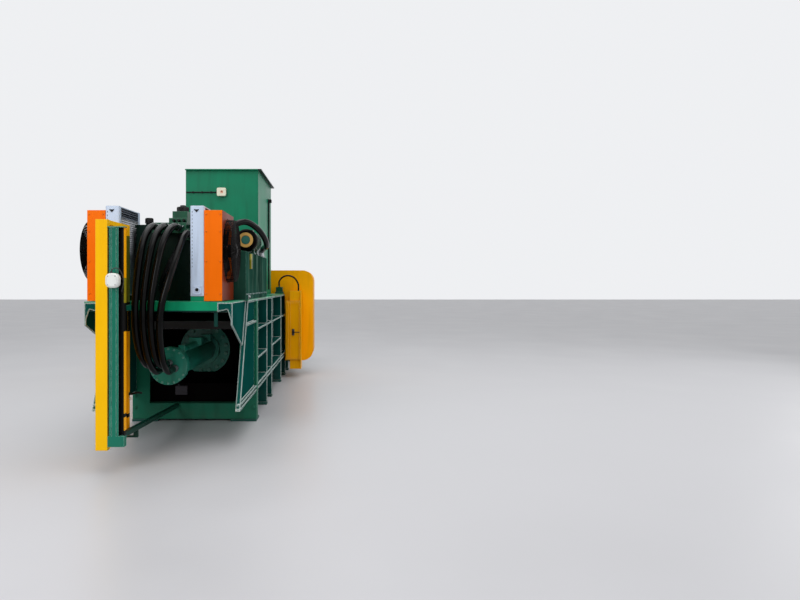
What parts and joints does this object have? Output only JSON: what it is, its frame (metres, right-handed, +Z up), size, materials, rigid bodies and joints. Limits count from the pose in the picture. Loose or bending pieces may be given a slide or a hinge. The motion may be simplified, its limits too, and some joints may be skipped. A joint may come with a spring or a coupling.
{
  "type": "horizontal channel baler",
  "caption": "Horizontal channel baler with feed tower, exposed main cylinder, oil coolers on a rear platform, tying unit and bale channel.",
  "frame": {"origin": "on the floor at the centre of the four anchor holes", "axes": "+Y along the bale's way to the outlet, +Z up, +X to the right seen from the hydraulic end"},
  "size_m": [3.375, 8.991, 3.23],
  "materials": {
    "base_frame": "semi-gloss machine enamel",
    "chamber_floor": "semi-gloss machine enamel",
    "wall_left": "semi-gloss machine enamel",
    "wall_right": "semi-gloss machine enamel",
    "chamber_roof": "semi-gloss machine enamel",
    "rear_portal": "semi-gloss machine enamel",
    "deck": "semi-gloss machine enamel",
    "bulkhead": "semi-gloss machine enamel",
    "hopper": "semi-gloss machine enamel",
    "tie_frame": "semi-gloss machine enamel",
    "bale_channel": "semi-gloss machine enamel",
    "oil_tank": "semi-gloss machine enamel",
    "power_cabinet": "semi-gloss machine enamel",
    "guard_post": "semi-gloss machine enamel",
    "side_flap_left": "semi-gloss machine enamel",
    "side_flap_right": "semi-gloss machine enamel",
    "barrel": "semi-gloss machine enamel",
    "cylinder_cap": "semi-gloss machine enamel",
    "mount_flange": "semi-gloss machine enamel",
    "side_pipe": "semi-gloss machine enamel",
    "manifold": "semi-gloss machine enamel",
    "tank_valves": "semi-gloss machine enamel",
    "pump_motor": "semi-gloss machine enamel",
    "tie_valves": "semi-gloss machine enamel",
    "clamp_cylinders": "semi-gloss machine enamel",
    "cylinder_bolts": "machined",
    "hose_fittings": "machined",
    "pump": "machined",
    "clamp_rod_left": "machined",
    "clamp_rod_right": "machined",
    "needle_carriage": "machined",
    "twister_shaft": "machined",
    "fixed_blade": "machined",
    "ram_blade": "machined",
    "ram": "machined",
    "ram_rod": "hard-chromed",
    "guard_door": "safety yellow enamel",
    "tie_guard": "safety yellow enamel",
    "tie_cabinet": "safety yellow enamel",
    "tie_door": "safety yellow enamel",
    "measuring_wheel": "safety yellow enamel",
    "cooler_cores": "brazed, bare",
    "cooler_shrouds": "orange enamel",
    "fan_guards": "black powder coat",
    "cooler_motors": "black powder coat",
    "cooler_fan_left": "moulded",
    "cooler_fan_right": "moulded",
    "filter": "moulded",
    "tie_latch": "moulded",
    "level_gauge": "clear tinted",
    "interlock_switch": "moulded",
    "hopper_sensors": "moulded",
    "hose_1": "black hose cover",
    "hose_2": "black hose cover",
    "hose_3": "black hose cover",
    "hose_4": "black hose cover",
    "drain_hose": "black hose cover",
    "motor_hose": "black hose cover",
    "tie_hose": "black hose cover",
    "switch_cable": "grey sheath"
  },
  "bodies": {
    "machine": {"base_frame": "base_frame", "chamber_floor": "chamber_floor", "wall_left": "wall_left", "wall_right": "wall_right", "chamber_roof": "chamber_roof", "rear_portal": "rear_portal", "deck": "deck", "bulkhead": "bulkhead", "hopper": "hopper", "tie_frame": "tie_frame", "bale_channel": "bale_channel", "oil_tank": "oil_tank", "power_cabinet": "power_cabinet", "guard_post": "guard_post", "barrel": "barrel", "cylinder_cap": "cylinder_cap", "mount_flange": "mount_flange", "side_pipe": "side_pipe", "manifold": "manifold", "tank_valves": "tank_valves", "pump_motor": "pump_motor", "tie_valves": "tie_valves", "clamp_cylinders": "clamp_cylinders", "cylinder_bolts": "cylinder_bolts", "hose_fittings": "hose_fittings", "pump": "pump", "fixed_blade": "fixed_blade", "tie_guard": "tie_guard", "tie_cabinet": "tie_cabinet", "cooler_cores": "cooler_cores", "cooler_shrouds": "cooler_shrouds", "fan_guards": "fan_guards", "cooler_motors": "cooler_motors", "filter": "filter", "level_gauge": "level_gauge", "interlock_switch": "interlock_switch", "hopper_sensors": "hopper_sensors", "hose_1": "hose_1", "hose_2": "hose_2", "hose_3": "hose_3", "hose_4": "hose_4", "drain_hose": "drain_hose", "motor_hose": "motor_hose", "tie_hose": "tie_hose", "switch_cable": "switch_cable"},
    "ram_set": {"ram": "ram", "ram_blade": "ram_blade", "ram_rod": "ram_rod"},
    "fan_left": {"cooler_fan_left": "cooler_fan_left"},
    "fan_right": {"cooler_fan_right": "cooler_fan_right"},
    "guard_leaf": {"guard_door": "guard_door"},
    "cabinet_door": {"tie_door": "tie_door"},
    "latch_lever": {"tie_latch": "tie_latch"},
    "needles": {"needle_carriage": "needle_carriage"},
    "flap_left": {"side_flap_left": "side_flap_left"},
    "flap_right": {"side_flap_right": "side_flap_right"},
    "clamp_left": {"clamp_rod_left": "clamp_rod_left"},
    "clamp_right": {"clamp_rod_right": "clamp_rod_right"},
    "star_wheel": {"measuring_wheel": "measuring_wheel"},
    "twister": {"twister_shaft": "twister_shaft"}
  },
  "joints": [
    {"name": "ram_stroke", "type": "slide", "parent": "machine", "child": "ram_set", "axis": [0, 1, 0], "range_m": [0, 2.34]},
    {"name": "fan_left_spin", "type": "hinge", "parent": "machine", "child": "fan_left", "pos_m": [-0.636, -4.275, 1.912], "axis": [1, 0, 0], "continuous": true},
    {"name": "fan_right_spin", "type": "hinge", "parent": "machine", "child": "fan_right", "pos_m": [0.564, -4.275, 1.912], "axis": [1, 0, 0], "continuous": true},
    {"name": "guard_leaf_swing", "type": "hinge", "parent": "machine", "child": "guard_leaf", "pos_m": [-0.37, -4.625, 1], "axis": [0, 0, -1], "range_deg": [0, 95]},
    {"name": "cabinet_door_swing", "type": "hinge", "parent": "machine", "child": "cabinet_door", "pos_m": [1.012, 0.39, 0.8], "axis": [0, 0, 1], "range_deg": [0, 110]},
    {"name": "latch_turn", "type": "hinge", "parent": "cabinet_door", "child": "latch_lever", "pos_m": [0.89, 0.38, 0.78], "axis": [0, 1, 0], "range_deg": [0, 90]},
    {"name": "needle_stroke", "type": "slide", "parent": "machine", "child": "needles", "axis": [1, 0, 0], "range_m": [0, 1.25]},
    {"name": "flap_right_squeeze", "type": "hinge", "parent": "machine", "child": "flap_right", "pos_m": [0.608, 1.55, 0.8], "axis": [0, 0, 1], "range_deg": [0, 3]},
    {"name": "flap_left_squeeze", "type": "hinge", "parent": "machine", "child": "flap_left", "pos_m": [-0.608, 1.55, 0.8], "axis": [0, 0, -1], "range_deg": [0, 3]},
    {"name": "clamp_right_push", "type": "slide", "parent": "machine", "child": "clamp_right", "axis": [-1, 0, 0], "range_m": [0, 0.082]},
    {"name": "clamp_left_push", "type": "slide", "parent": "machine", "child": "clamp_left", "axis": [1, 0, 0], "range_m": [0, 0.082]},
    {"name": "star_wheel_spin", "type": "hinge", "parent": "machine", "child": "star_wheel", "pos_m": [0, 2.1, 1.33], "axis": [1, 0, 0], "continuous": true},
    {"name": "twister_spin", "type": "hinge", "parent": "machine", "child": "twister", "pos_m": [0.79, 0.87, 0.8], "axis": [0, 0, 1], "continuous": true}
  ],
  "couplings": [
    {"joint": "flap_left_squeeze", "follows": "flap_right_squeeze", "ratio": 1},
    {"joint": "clamp_right_push", "follows": "flap_right_squeeze", "m_per_rad": 1.55},
    {"joint": "clamp_left_push", "follows": "flap_right_squeeze", "m_per_rad": 1.55}
  ]
}
